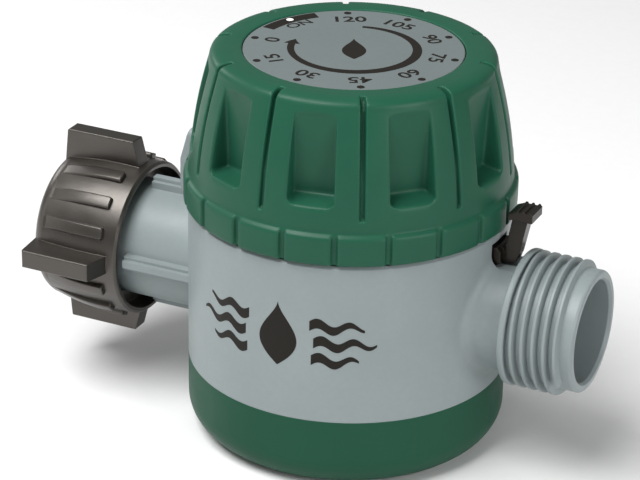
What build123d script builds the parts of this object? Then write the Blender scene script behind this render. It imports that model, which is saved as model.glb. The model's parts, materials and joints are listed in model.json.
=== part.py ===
from build123d import *
import math
import os

# Wind-up drip irrigation timer: a dial with a clockwork in it, over a diaphragm valve in a round
# housing with a swivel hose nut at its inlet and a hose thread at its outlet.
# Millimetres. The origin is the centre of the underside, +Z is up, +X points out of the outlet,
# and -Y is the front.

# Driving dimensions
BODY_R = 32.0
BASE_TOP = 15.4
BASE_FILLET = 6.6
AXIS_Z = 31.0
INLET_Z = 30.1
SHOULDER_Z = 48.4
RIM_R = 30.55
RIM_TOP = 54.2
WALL_R = 29.0
DECK_Z = 38.6
DECK_TOP = 40.8
FACES = 10
STEP = 360.0 / FACES
DIAL_TURN = 10.5

# Dial knob
SKIRT_R = 32.9
SKIRT_Z = 48.9
BAND_TOP = 55.1
CONE_FOOT_R = 32.0
CONE_MID_R = 30.9
CONE_MID_Z = 65.0
CONE_TOP_R = 27.9
CONE_TOP_Z = 78.0
KNOB_TOP = 80.0
CROWN_R = 26.1
CAVITY_R = 25.4
CAVITY_FLOOR = 55.5
CAVITY_TOP = 77.5
LABEL_R = 21.45
LABEL_T = 0.8
LABEL_POCKET = 1.0
GROOVE_HALF = 0.45
HUB_R = 6.0
HUB_Z = 69.4

# Outlet: garden hose thread, 11.5 threads to the inch
OUT_X = 52.0
COLLAR_X = 37.2
COLLAR_T = 1.4
PITCH = 25.4 / 11.5
THREAD_R = 13.5
ROOT_R = 12.1
OUT_BORE_R = 10.2
NECK_FILLET = 2.6
NECK_R = 11.4
TURNS = 4.85
THREAD_START = 1.2

# Inlet and swivel nut
NUT_X0 = -64.4
NUT_X1 = -44.6
NUT_R = 16.0
WING_R = 21.4
IN_NECK_R = 12.0
LIP_R = 12.9
NUT_BORE_R = IN_NECK_R + 0.08
FEMALE_R = 13.6
IN_BORE_R = 7.0
LIP_X = NUT_X1 - 7.4
SHELF_X = LIP_X + 2.1
WASHER_X = LIP_X - 0.4
WASHER_T = 2.4

# Thumb lever
LEVER_PIVOT = (30.3, 44.3)
LEVER_PIN_R = 0.9
WINDOW_HALF = 3.75
WINDOW_Z = (41.8, 46.6)

# Valve
SEAT_R = 6.6
SEAT_WALL_R = 9.2
CHANNEL_R = 7.0
CHANNEL_WALL_R = 8.8
SEAT_Z = 21.0
CHAMBER_R = 21.5
VALVE_R = 24.0
VALVE_Z = 19.5
PILOT_Y = 13.5
BOSS_R = 5.2
DUCT_Y = 21.0
DUCT_Z = 26.0
DUCT_R = 0.8
SCREW_RING = 25.6

# Clockwork
ARBOR_R = 2.5
FIT = 0.05
PLATE_R = 24.0
LOWER_PLATE = (51.5, 52.7)
UPPER_PLATE = (67.5, 68.7)
PILLARS = [(21.0, 30.0), (21.0, 150.0), (21.0, 250.0)]
GREAT_TEETH = 48
LEAVES = 8
GREAT_MODULE = 0.5
SECOND_MODULE = 0.4
GREAT_Z = (53.6, 54.6)
SECOND_Z = (63.6, 64.4)
ESCAPE_Z = (65.6, 66.3)
SECOND_ANGLE = -60.0
ESCAPE_TEETH = 15
ESCAPE_R = 5.5
TRAIN_R = 0.8
CAM_Z = (49.3, 50.9)
CAM_R = 17.0
PIN_OUT = 4.15
PIN_UP = 4.3
VERGE_GAP = 7.86

GREAT_CD = GREAT_MODULE * (GREAT_TEETH + LEAVES) / 2
SECOND_CD = SECOND_MODULE * (GREAT_TEETH + LEAVES) / 2
ESCAPE_RADIUS = 15.0


def polar(radius, degrees):
    return radius * math.cos(math.radians(degrees)), radius * math.sin(math.radians(degrees))


def escape_angle():
    """Direction of the escape arbor, from the triangle of the three centres."""
    cosine = (ESCAPE_RADIUS**2 + GREAT_CD**2 - SECOND_CD**2) / (2 * ESCAPE_RADIUS * GREAT_CD)
    return SECOND_ANGLE + math.degrees(math.acos(cosine))


SECOND_XY = polar(GREAT_CD, SECOND_ANGLE)
ESCAPE_XY = polar(ESCAPE_RADIUS, escape_angle())
VERGE_DIRECTION = 97.0
VERGE_XY = tuple(a + b for a, b in zip(ESCAPE_XY, polar(VERGE_GAP, VERGE_DIRECTION)))


# Building blocks

def disc(radius, z0, z1, x=0.0, y=0.0):
    return Pos(x, y, (z0 + z1) / 2) * Cylinder(radius, z1 - z0)


def tube(r_out, r_in, z0, z1, x=0.0, y=0.0):
    return disc(r_out, z0, z1, x, y) - disc(r_in, z0 - 1, z1 + 1, x, y)


def rod(radius, x0, x1, z=AXIS_Z):
    """Cylinder along X."""
    return Pos((x0 + x1) / 2, 0, z) * Rot(0, 90, 0) * Cylinder(radius, x1 - x0)


def block(x0, x1, y0, y1, z0, z1):
    return Pos((x0 + x1) / 2, (y0 + y1) / 2, (z0 + z1) / 2) * Box(x1 - x0, y1 - y0, z1 - z0)


def lathe(points):
    """Solid of revolution about Z from (radius, height) points."""
    outline = Polyline(*[(r, 0, z) for r, z in points], close=True)
    return revolve(make_face(outline), Axis.Z)


def lathe_x(points, z=AXIS_Z):
    """Solid of revolution about the line y = 0 at height z, from (x, radius) points."""
    outline = Polyline(*[(x, 0, z + r) for x, r in points], close=True)
    return revolve(make_face(outline), Axis((0, 0, z), (1, 0, 0)))


def slab(points, half_width):
    """Outline in the XZ plane, given as (x, z) points, thickened both ways along Y."""
    face = make_face(Polyline(*[(x, 0, z) for x, z in points], close=True))
    return extrude(face, half_width, dir=(0, 1, 0), both=True)


def ring_of(shape, angles):
    return [Rot(0, 0, angle) * shape for angle in angles]


def about_inlet(shape, angles):
    """Copies of a shape turned about the inlet's axis."""
    centre = Pos(0, 0, INLET_Z)
    return [centre * Rot(angle, 0, 0) * centre.inverse() * shape for angle in angles]


def screw(radius, head_r, z_tip, z_head, head_t, x, y):
    """Pan-head screw pointing down, with a cross recess."""
    shank = disc(radius, z_tip, z_head, x, y)
    head = disc(head_r, z_head, z_head + head_t, x, y)
    head = fillet(head.edges().group_by(Axis.Z)[-1], head_t * 0.45)
    arm = head_r * 0.62
    slot_z = z_head + head_t
    cross = block(x - arm, x + arm, y - 0.25, y + 0.25, slot_z - 0.7, slot_z + 1)
    cross += block(x - 0.25, x + 0.25, y - arm, y + arm, slot_z - 0.7, slot_z + 1)
    return shank + head - cross


def flip(shape, z):
    """The shape turned upside down about height z."""
    return Pos(0, 0, z) * Rot(180, 0, 0) * Pos(0, 0, -z) * shape


def coil(radius, wire_r, z0, z1, turns, x=0.0, y=0.0):
    """Helical compression spring between two heights."""
    low = z0 + wire_r
    height = z1 - z0 - 2 * wire_r
    path = Helix(height / turns, height, radius)
    section = Plane(path @ 0, z_dir=path % 0) * Circle(wire_r)
    return Pos(x, y, low) * sweep(section, path, is_frenet=True)


def toothed(module, teeth, addendum, dedendum, root_share, tip_share, z0, z1):
    """Spur gear with straight-flanked teeth; one tooth is centred on +X."""
    pitch_r = module * teeth / 2
    root_r = pitch_r - dedendum * module
    tip_r = pitch_r + addendum * module
    pitch_deg = 360.0 / teeth
    outline = []
    for tooth in range(teeth):
        middle = tooth * pitch_deg
        for radius, share, side in (
            (root_r, root_share, -1),
            (tip_r, tip_share, -1),
            (tip_r, tip_share, 1),
            (root_r, root_share, 1),
        ):
            outline.append(polar(radius, middle + side * share * pitch_deg / 2))
    face = make_face(Polyline(*outline, close=True))
    return Pos(0, 0, z0) * extrude(face, z1 - z0)


# Shell

def base_cap():
    """Green cup that closes the underside; it snaps over the housing's spigot."""
    cup = disc(BODY_R, 0, BASE_TOP)
    cup = fillet(cup.edges().group_by(Axis.Z)[0], BASE_FILLET)
    hollow = disc(29.65, 8.9, BASE_TOP + 1) + disc(26.6, 2.4, 9)
    cup -= hollow
    cup -= tube(30.1, 29.0, 10.8, 12.2)
    foot_ring = tube(22.5, 21.0, -1, 0.5)
    return cup - foot_ring


def thread_ridge():
    """Single-start thread ridge around +Z, as a trapezoid swept along a helix."""
    path = Helix(PITCH, PITCH * TURNS, ROOT_R)
    foot = PITCH * 0.36
    crest = PITCH * 0.12
    rise = THREAD_R - ROOT_R
    sunk = -0.3
    outline = Polyline((sunk, -foot), (rise, -crest), (rise, crest), (sunk, foot), close=True)
    section = Plane(origin=path @ 0, x_dir=(1, 0, 0), z_dir=path % 0) * make_face(outline)
    return sweep(section, path, is_frenet=True)


def outlet_fitting():
    """Collar and threaded spout beyond the outlet neck, still without their bore."""
    length = OUT_X - COLLAR_X
    spout = disc(ROOT_R, 0, length)
    spout = fillet(spout.edges().group_by(Axis.Z)[-1], 0.7)
    collar = disc(THREAD_R + 0.1, 0, COLLAR_T)
    collar = fillet(collar.edges().filter_by(GeomType.CIRCLE), 0.45)
    fitting = spout + Pos(0, 0, THREAD_START) * thread_ridge() + collar
    return Pos(COLLAR_X, 0, AXIS_Z) * Rot(0, 90, 0) * fitting


def outlet_bore():
    """Waterway from the seat tube to the mouth: narrow inside, wide in the spout."""
    return lathe_x([
        (0, 0), (0, CHANNEL_R), (33, CHANNEL_R), (36.5, OUT_BORE_R), (OUT_X - 0.6, OUT_BORE_R),
        (OUT_X + 1, OUT_BORE_R + 1.2), (OUT_X + 1, 0),
    ])


def blend_outlet_neck(shell):
    """Rounds the corner where the outlet neck leaves the body."""
    corner = []
    for edge in shell.edges():
        middle = edge @ 0.5
        on_body = abs(math.hypot(middle.X, middle.Y) - BODY_R) < 0.02
        on_neck = abs(math.hypot(middle.Y, middle.Z - AXIS_Z) - NECK_R) < 0.02
        if on_body and on_neck and middle.X > 0:
            corner.append(edge)
    return fillet(corner, NECK_FILLET)


def inlet_neck():
    """Inlet tube with four lengthwise ribs and the lip that holds the swivel nut."""
    neck = rod(IN_NECK_R, LIP_X, -24, INLET_Z)
    lip_t = 1.9
    chamfer = 0.5
    lip = lathe_x([(LIP_X, 0), (LIP_X, LIP_R - chamfer), (LIP_X + chamfer, LIP_R), (LIP_X + lip_t, LIP_R),
                   (LIP_X + lip_t, 0)], INLET_Z)
    rib_x0 = NUT_X1 + 0.7
    rib_x1 = -26.5
    rib = block(rib_x0, rib_x1, -1.5, 1.5, INLET_Z + 10, INLET_Z + IN_NECK_R + 1.4)
    rib += block(rib_x0, rib_x1, -0.8, 0.8, INLET_Z + 10, INLET_Z + IN_NECK_R + 2.2)
    return [neck, lip] + about_inlet(rib, (0, 90, 180, 270))


def index_tab():
    """Fixed mark beside the dial, growing out of the housing above the inlet."""
    profile = [
        (-31.0, 42.0), (-34.8, 42.0), (-35.9, 45.5), (-35.9, 51.2), (-34.1, 57.6),
        (-32.9, 57.6), (-33.7, 54.6), (-33.7, 47.9), (-31.0, 47.9),
    ]
    tab = slab(profile, 4.0)
    return fillet(tab.edges().filter_by(Axis.X, tolerance=30).group_by(Axis.Z)[-1], 1.2)


def housing_shell():
    outer = lathe([
        (0, BASE_TOP), (BODY_R, BASE_TOP), (BODY_R, SHOULDER_Z - 0.5), (BODY_R - 0.5, SHOULDER_Z),
        (RIM_R, SHOULDER_Z), (RIM_R, RIM_TOP), (0, RIM_TOP),
    ])
    spigot = disc(29.6, 9.0, BASE_TOP) + tube(29.95, 29.0, 11.1, 11.9)
    shell = outer + spigot
    shell -= disc(28.0, 8, BASE_TOP + 1)
    shell -= disc(WALL_R, BASE_TOP, DECK_Z)
    shell -= disc(WALL_R, DECK_TOP, RIM_TOP + 1)
    return shell


def valve_body():
    """Wet chamber under the deck, with the seat tube, the outlet channel and the pilot boss."""
    chamber = tube(VALVE_R, CHAMBER_R, VALVE_Z, DECK_Z + 0.5)
    seat = disc(SEAT_WALL_R, SEAT_Z + 0.8, DECK_Z + 0.5)
    seat += disc(SEAT_R + 0.9, SEAT_Z, SEAT_Z + 1)
    channel = rod(CHANNEL_WALL_R, 0, 23)
    boss = disc(BOSS_R, DUCT_Z - 2, DECK_Z + 0.5, 0, PILOT_Y)
    drop = disc(2.6, VALVE_Z, DUCT_Z + 2, 0, DUCT_Y)
    towers = [
        disc(2.9, VALVE_Z, DECK_Z + 0.5, *polar(SCREW_RING, angle)) for angle in range(30, 360, 60)
    ]
    return [chamber, seat, channel, boss, drop] + towers


def clock_posts():
    """Three posts on the deck that carry the clockwork's lower plate."""
    return [disc(2.6, DECK_Z, LOWER_PLATE[0], *polar(21.5, a)) for a in (60, 180, 300)]


def window():
    z0, z1 = WINDOW_Z
    return block(26, COLLAR_X, -WINDOW_HALF, WINDOW_HALF, z0, z1)


def housing_body():
    """Grey moulding: shell, necks, valve chamber, outlet thread, index tab and deck."""
    shell = blend_outlet_neck(housing_shell() + rod(NECK_R, 24, COLLAR_X))
    for piece in [index_tab()] + inlet_neck():
        shell += piece
    shell -= disc(WALL_R, BASE_TOP, DECK_Z)
    shell -= disc(WALL_R, DECK_TOP, RIM_TOP + 1)
    for piece in valve_body() + clock_posts():
        shell += piece
    shell += rod(NECK_R - 1.6, CHAMBER_R + 0.3, 30)
    shell += rod(IN_NECK_R - 1.9, -30, -CHAMBER_R - 0.3, INLET_Z)
    shell += block(-WALL_R - 0.5, -23.3, -4, 4, LOWER_PLATE[1] + 0.1, RIM_TOP)
    shell += outlet_fitting()
    for cut in housing_cuts():
        shell -= cut
    return shell


def housing_cuts():
    """Waterways, screw holes, the lever's window and pin holes."""
    duct_middle = (PILOT_Y + DUCT_Y) / 2
    pivot_x, pivot_z = LEVER_PIVOT
    cuts = [
        outlet_bore(),
        rod(IN_BORE_R, LIP_X - 1, -CHAMBER_R + 0.6, INLET_Z),
        rod(IN_BORE_R + 1.4, LIP_X - 1, LIP_X + 12, INLET_Z),
        disc(SEAT_R, SEAT_Z - 1, AXIS_Z),
        disc(2.2, 33.0, DECK_TOP + 1, 0, PILOT_Y),
        disc(4.7, DECK_TOP - 1.2, DECK_TOP + 1, 0, PILOT_Y),
        disc(DUCT_R, DUCT_Z, 33.5, 0, PILOT_Y),
        disc(DUCT_R, VALVE_Z - 1, DUCT_Z, 0, DUCT_Y),
        Pos(0, duct_middle, DUCT_Z) * Rot(90, 0, 0) * Cylinder(DUCT_R - 0.1, DUCT_Y - PILOT_Y),
        Pos(0, 8.8, 35.0) * Rot(90, 0, 0) * Cylinder(1.0, 9),
        window(),
        Pos(pivot_x, 0, pivot_z) * Rot(90, 0, 0) * Cylinder(LEVER_PIN_R, 13),
    ]
    for angle in range(30, 360, 60):
        cuts.append(disc(1.3, VALVE_Z - 1, VALVE_Z + 9, *polar(SCREW_RING, angle)))
    return cuts


# Valve

def valve_bonnet():
    """Cover that clamps the diaphragm's rim from below."""
    cover = disc(28.6, 15.9, 17.6)
    cover += disc(VALVE_R, 11.0, 17.7)
    cover -= disc(19.0, 13.0, 20)
    cover += tube(6.2, 5.2, 12.5, 14.0)
    cover -= block(-1.0, 1.0, 18.0, DUCT_Y + 1.0, 15.5, 18)
    for angle in range(30, 360, 60):
        x, y = polar(SCREW_RING, angle)
        cover -= disc(1.5, 10, 20, x, y)
        cover -= disc(2.4, 10, 16.2, x, y)
    return cover


def bonnet_screws():
    screws = []
    for angle in range(30, 360, 60):
        x, y = polar(SCREW_RING, angle)
        screws.append(flip(screw(1.25, 2.1, 11.0, 22.6, 1.6, x, -y), 19.4))
    return screws


def diaphragm():
    """Moulded rubber disc: clamped rim, one rolled convolution and a flat middle."""
    sheet = lathe([
        (3.0, 19.3), (3.0, 20.7), (12.5, 20.7), (14.0, 20.2), (15.3, 18.9), (16.7, 18.9),
        (18.0, 19.45), (VALVE_R - 0.1, 19.45), (VALVE_R - 0.1, 17.75), (20.3, 17.75),
        (18.5, 18.2), (17.2, 17.7), (14.8, 17.7), (13.2, 18.9), (12.2, 19.3),
    ])
    return sheet - disc(DUCT_R + 0.3, 17, 20, 0, DUCT_Y)


def diaphragm_plate():
    """Stiffening plate under the diaphragm, with the stem that goes through its middle."""
    return lathe([
        (0, 21.6), (2.0, 21.6), (2.9, 20.8), (2.9, 19.25), (11.5, 19.25), (11.5, 17.9),
        (6.8, 17.9), (6.8, 16.6), (5.6, 16.6), (5.6, 17.9), (0, 17.9),
    ])


def valve_spring():
    return coil(4.6, 0.45, 13.05, 17.85, 3.5)


def pilot_plunger():
    """Pin that the cam holds down on the pilot port; its tip carries a moulded seal."""
    return lathe([
        (0, 33.25), (1.5, 33.25), (1.5, 34.2), (1.2, 34.6), (1.2, 46.3), (2.5, 46.3),
        (2.5, 46.9), (1.7, 47.5), (0, 47.5),
    ]).moved(Location((0, PILOT_Y, 0)))


def plunger_seal():
    """Ring seal around the plunger, in the deck's counterbore."""
    ring = Torus(1.2 + 0.03 + 0.6, 0.6)
    return Pos(0, PILOT_Y, DECK_TOP - 0.55) * ring


def gland_cap():
    cap = tube(4.6, 1.2 + FIT, DECK_TOP + 0.05, DECK_TOP + 1.4, 0, PILOT_Y)
    cap += tube(4.6, 2.5, DECK_TOP - 1.15, DECK_TOP + 0.1, 0, PILOT_Y)
    return cap


def plunger_spring():
    return coil(1.75, 0.25, DECK_TOP + 1.45, 46.25, 5, 0, PILOT_Y)


# Clockwork

def plate(z0, z1, holes):
    """Round brass plate with three pillar holes, pivot holes and lightening windows."""
    shape = disc(PLATE_R, z0, z1)
    for radius, angle in PILLARS:
        shape -= disc(1.1, z0 - 1, z1 + 1, *polar(radius, angle))
    for x, y, radius in holes:
        shape -= disc(radius, z0 - 1, z1 + 1, x, y)
    return shape


def pivots():
    return [(*SECOND_XY, 0.5 + FIT), (*ESCAPE_XY, 0.5 + FIT), (*VERGE_XY, 0.5 + FIT)]


def lower_plate():
    z0, z1 = LOWER_PLATE
    shape = plate(z0, z1, [(0, 0, ARBOR_R + FIT)] + pivots())
    shape -= disc(4.0, z0 - 1, z1 + 1, -13, 0)
    return shape


def upper_plate():
    z0, z1 = UPPER_PLATE
    shape = plate(z0, z1, [(0, 0, ARBOR_R + FIT)] + pivots())
    shape -= disc(5.0, z0 - 1, z1 + 1, -12, -8)
    shape -= disc(1.0, z0 - 1, z1 + 1, *polar(12.6, 165))
    return shape


def clock_pillars():
    """Turned pillars that hold the plates apart; their shouldered ends take the screws."""
    pillars = []
    for radius, angle in PILLARS:
        x, y = polar(radius, angle)
        body = disc(1.9, LOWER_PLATE[1], UPPER_PLATE[0], x, y)
        waist = tube(3, 1.5, LOWER_PLATE[1] + 2.5, UPPER_PLATE[0] - 2.5, x, y)
        holes = disc(0.85, LOWER_PLATE[1] - 1, LOWER_PLATE[1] + 4, x, y)
        holes += disc(0.85, UPPER_PLATE[0] - 4, UPPER_PLATE[0] + 1, x, y)
        pillars.append(body - waist - holes)
    return pillars


def clock_screws():
    screws = []
    for radius, angle in PILLARS:
        x, y = polar(radius, angle)
        screws.append(screw(0.8, 1.7, UPPER_PLATE[0] - 3, UPPER_PLATE[1] + 0.02, 1.0, x, y))
        lower = screw(0.8, 1.7, LOWER_PLATE[0] - 4.2, LOWER_PLATE[0] - 0.02, 1.0, x, -y)
        screws.append(flip(lower, LOWER_PLATE[0] - 0.02))
    return screws


def dial_arbor():
    """Main arbor: cam seat below, shoulder for the great wheel, flats for the knob on top."""
    arbor = disc(ARBOR_R, CAM_Z[0] - 0.6, 76.0)
    arbor += disc(3.6, GREAT_Z[1] + 0.7, GREAT_Z[1] + 1.6)
    arbor -= block(1.9, 4, -4, 4, HUB_Z, 77)
    arbor -= block(-4, -1.9, -4, 4, HUB_Z, 77)
    arbor -= block(1.9, 4, -4, 4, CAM_Z[0] - 1, CAM_Z[1])
    return arbor - disc(0.9, 70, 77)


def great_wheel():
    z0, z1 = GREAT_Z
    wheel = toothed(GREAT_MODULE, GREAT_TEETH, 0.7, 1.15, 0.50, 0.16, z0, z1)
    wheel = Rot(0, 0, SECOND_ANGLE) * wheel
    wheel -= disc(ARBOR_R, z0 - 1, z1 + 1)
    for opening in ring_of(disc(2.2, z0 - 1, z1 + 1, 7.2, 0), range(0, 360, 60)):
        wheel -= opening
    return wheel


def clutch_washer():
    """Dished spring washer that lets the arbor slip in the great wheel while it is wound."""
    z = GREAT_Z[1]
    return lathe([(ARBOR_R + 0.02, z + 0.45), (ARBOR_R + 0.02, z + 0.7), (3.4, z + 0.7),
                  (5.2, z + 0.25), (5.2, z), (3.4, z + 0.45)])


def mainspring():
    """Flat spiral strip from the arbor's hook to the anchor post."""
    strip = 0.35
    inner = 3.1
    outer = 11.2
    turns = 5.5
    steps = 24
    count = int(turns * steps)
    edges = []
    for side in (0.0, strip):
        points = []
        for i in range(count + 1):
            radius = inner + (outer - inner) * i / count + side
            points.append(polar(radius, 165 + 360.0 * (i - count) / steps))
        edges.append(points)
    face = make_face([
        Spline(*edges[0]), Spline(*edges[1]),
        Line(edges[0][0], edges[1][0]), Line(edges[0][-1], edges[1][-1]),
    ])
    return Pos(0, 0, 56.6) * extrude(face, 5.8)


def spring_post():
    x, y = polar(12.6, 165)
    return disc(0.95, 56.2, UPPER_PLATE[1] - 0.1, x, y)


def second_pinion():
    """Steel arbor of the second wheel with its eight-leaved pinion."""
    x, y = SECOND_XY
    leaves = toothed(GREAT_MODULE, LEAVES, 0.65, 1.15, 0.42, 0.22, GREAT_Z[0] - 0.3, GREAT_Z[1] + 0.5)
    turn = SECOND_ANGLE + 180.0 + 180.0 / LEAVES
    shape = Pos(x, y, 0) * Rot(0, 0, turn) * leaves
    return shape + train_arbor(x, y)


def train_arbor(x, y):
    body = disc(TRAIN_R, LOWER_PLATE[1] + 0.15, UPPER_PLATE[0] - 0.15, x, y)
    return body + disc(0.5, LOWER_PLATE[0] + 0.1, UPPER_PLATE[1] - 0.1, x, y)


def second_wheel():
    x, y = SECOND_XY
    z0, z1 = SECOND_Z
    wheel = toothed(SECOND_MODULE, GREAT_TEETH, 0.7, 1.15, 0.50, 0.16, z0, z1)
    wheel -= disc(TRAIN_R, z0 - 1, z1 + 1)
    for opening in ring_of(disc(2.0, z0 - 1, z1 + 1, 5.4, 0), range(0, 360, 72)):
        wheel -= opening
    return Pos(x, y, 0) * Rot(0, 0, mesh_direction()) * wheel


def mesh_direction():
    """Direction from the second arbor to the escape arbor."""
    dx = ESCAPE_XY[0] - SECOND_XY[0]
    dy = ESCAPE_XY[1] - SECOND_XY[1]
    return math.degrees(math.atan2(dy, dx))


def escape_pinion():
    x, y = ESCAPE_XY
    leaves = toothed(SECOND_MODULE, LEAVES, 0.65, 1.15, 0.42, 0.22, SECOND_Z[0] - 0.4, SECOND_Z[1] + 0.4)
    turn = mesh_direction() + 180.0 + 180.0 / LEAVES
    return Pos(x, y, 0) * Rot(0, 0, turn) * leaves + train_arbor(x, y)


def escape_wheel():
    """Fifteen pointed teeth; a gap faces the verge."""
    x, y = ESCAPE_XY
    z0, z1 = ESCAPE_Z
    pitch = 360.0 / ESCAPE_TEETH
    outline = []
    for tooth in range(ESCAPE_TEETH):
        middle = VERGE_DIRECTION + (tooth + 0.5) * pitch
        outline.append(polar(3.9, middle - 5.5))
        outline.append(polar(ESCAPE_R, middle - 1.4))
        outline.append(polar(ESCAPE_R, middle + 1.4))
        outline.append(polar(3.9, middle + 5.5))
    wheel = extrude(make_face(Polyline(*outline, close=True)), z1 - z0)
    wheel -= disc(TRAIN_R, -1, 3)
    for opening in ring_of(disc(0.8, -1, 3, 2.3, 0), range(0, 360, 90)):
        wheel -= opening
    return Pos(x, y, z0) * wheel


def verge():
    """Rocking pallet bar with two weights; its two pins catch the escape wheel in turn."""
    x, y = VERGE_XY
    z0 = ESCAPE_Z[1] + 0.2
    bar = block(-PIN_OUT - 0.9, PIN_OUT + 0.9, -0.9, 0.9, z0, z0 + 0.8)
    bar += disc(1.7, z0, z0 + 0.8)
    drop = PIN_UP - VERGE_GAP
    for side in (-1, 1):
        px = side * PIN_OUT
        bar += block(px - 0.7, px + 0.7, drop - 0.6, 0, z0, z0 + 0.8)
    bar -= disc(TRAIN_R, z0 - 1, z0 + 2)
    for side in (-1, 1):
        bar -= disc(0.35, z0 - 1, z0 + 2, side * PIN_OUT, drop)
    return Pos(x, y, 0) * Rot(0, 0, VERGE_DIRECTION - 90) * bar


def verge_pins():
    x, y = VERGE_XY
    drop = PIN_UP - VERGE_GAP
    z1 = ESCAPE_Z[1] + 1.0
    turn = Pos(x, y, 0) * Rot(0, 0, VERGE_DIRECTION - 90)
    return [turn * disc(0.35, ESCAPE_Z[0] - 0.2, z1, side * PIN_OUT, drop) for side in (-1, 1)]


def verge_arbor():
    return train_arbor(*VERGE_XY)


def cam():
    """Disc under the lower plate; its one lobe holds the pilot plunger down at zero."""
    z0, z1 = CAM_Z
    shape = disc(CAM_R, z0, z1) + disc(4.5, z0 - 0.6, z1)
    lobe = tube(PILOT_Y + 2.6, PILOT_Y - 2.6, z0 - 1.6, z0 + 0.5) & block(-4, 4, 5, 20, 40, 60)
    shape += lobe
    bore = disc(ARBOR_R, z0 - 2, z1 + 1) - block(1.9, 4, -4, 4, z0 - 3, z1 + 2)
    for opening in ring_of(disc(3.0, z0 - 1, z1 + 1, 9.0, 0), (200, 270, 340)):
        shape -= opening
    return shape - bore


# Dial

def knob_profile():
    """Outer wall of the knob from the skirt over the cone to the crown."""
    outline = [
        Line((CAVITY_R, 0, SKIRT_Z), (SKIRT_R - 0.4, 0, SKIRT_Z)),
        Line((SKIRT_R - 0.4, 0, SKIRT_Z), (SKIRT_R, 0, SKIRT_Z + 0.5)),
        Line((SKIRT_R, 0, SKIRT_Z + 0.5), (SKIRT_R, 0, BAND_TOP - 0.7)),
        Line((SKIRT_R, 0, BAND_TOP - 0.7), (CONE_FOOT_R, 0, BAND_TOP)),
        ThreePointArc((CONE_FOOT_R, 0, BAND_TOP), (CONE_MID_R, 0, CONE_MID_Z), (CONE_TOP_R, 0, CONE_TOP_Z)),
        ThreePointArc((CONE_TOP_R, 0, CONE_TOP_Z), (27.3, 0, 79.4), (CROWN_R, 0, KNOB_TOP)),
        Line((CROWN_R, 0, KNOB_TOP), (0, 0, KNOB_TOP)),
        Line((0, 0, KNOB_TOP), (0, 0, SKIRT_Z)),
        Line((0, 0, SKIRT_Z), (CAVITY_R, 0, SKIRT_Z)),
    ]
    return revolve(make_face(outline), Axis.Z)


def knob_groove():
    """Narrow groove down the cone, notched through the edge of the top ring."""
    profile = [(34, 57.4), (30.7, 57.9), (30.0, 65), (26.7, 77.6), (24.8, 79.2), (24.8, 81), (34, 81)]
    return slab(profile, GROOVE_HALF)


def knob_pocket():
    """Finger recess, widest and deepest at its foot; its floor runs out of the cone at its top."""
    floor_x = 26.9
    top_z = 77.4
    outline = [(-4.4, 59.6), (4.4, 59.6), (4.0, top_z), (-4.0, top_z)]
    face = make_face(Polyline(*[(floor_x, y, z) for y, z in outline], close=True))
    pocket = extrude(face, 8, dir=(1, 0, 0))
    pocket = fillet(pocket.edges().filter_by(Axis.X).group_by(Axis.Z)[0], 0.9)
    ledge = slab([(26, 57.0), (26, 61.1), (34, 59.6), (34, 57.0)], 6)
    wedge = slab([(26, 60.0), (floor_x, 60.0), (28.35, top_z + 1), (26, top_z + 1)], 6)
    return pocket - ledge - wedge


def dial_knob():
    knob = knob_profile()
    knob -= disc(30.9, SKIRT_Z - 1, CAVITY_FLOOR)
    knob -= disc(CAVITY_R, CAVITY_FLOOR - 1, CAVITY_TOP)
    knob -= disc(LABEL_R + 0.15, KNOB_TOP - LABEL_POCKET, KNOB_TOP + 1)
    knob += disc(HUB_R, HUB_Z, CAVITY_TOP + 0.1)
    bore = disc(ARBOR_R + 0.02, HUB_Z - 1, 76.1)
    bore &= block(-1.92, 1.92, -4, 4, HUB_Z - 1, 77)
    knob -= bore
    knob -= disc(1.1, 76, KNOB_TOP)
    knob -= disc(2.4, KNOB_TOP - LABEL_POCKET - 1.3, KNOB_TOP)
    rib = block(HUB_R - 0.3, CAVITY_R + 0.3, -0.6, 0.6, 74.6, CAVITY_TOP + 0.1)
    for web in ring_of(rib, range(0, 360, 60)):
        knob += web
    angles = [DIAL_TURN + STEP * i for i in range(FACES)]
    for groove in ring_of(knob_groove(), angles):
        knob -= groove
    for pocket in ring_of(knob_pocket(), [a + STEP / 2 for a in angles]):
        knob -= pocket
    notch = block(SKIRT_R - 0.75, SKIRT_R + 1, -0.55, 0.55, SKIRT_Z - 1, BAND_TOP + 0.1)
    for cut in ring_of(notch, [DIAL_TURN + STEP * (i / 2 + 0.25) for i in range(2 * FACES)]):
        knob -= cut
    return knob


def dial_label():
    z0 = KNOB_TOP - LABEL_POCKET
    disk = disc(LABEL_R, z0, z0 + LABEL_T)
    return fillet(disk.edges().group_by(Axis.Z)[-1], 0.2)


def knob_screw():
    z0 = KNOB_TOP - LABEL_POCKET - 1.25
    return screw(0.85, 2.2, 71.0, z0, 1.1, 0, 0)


# Lever

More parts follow.
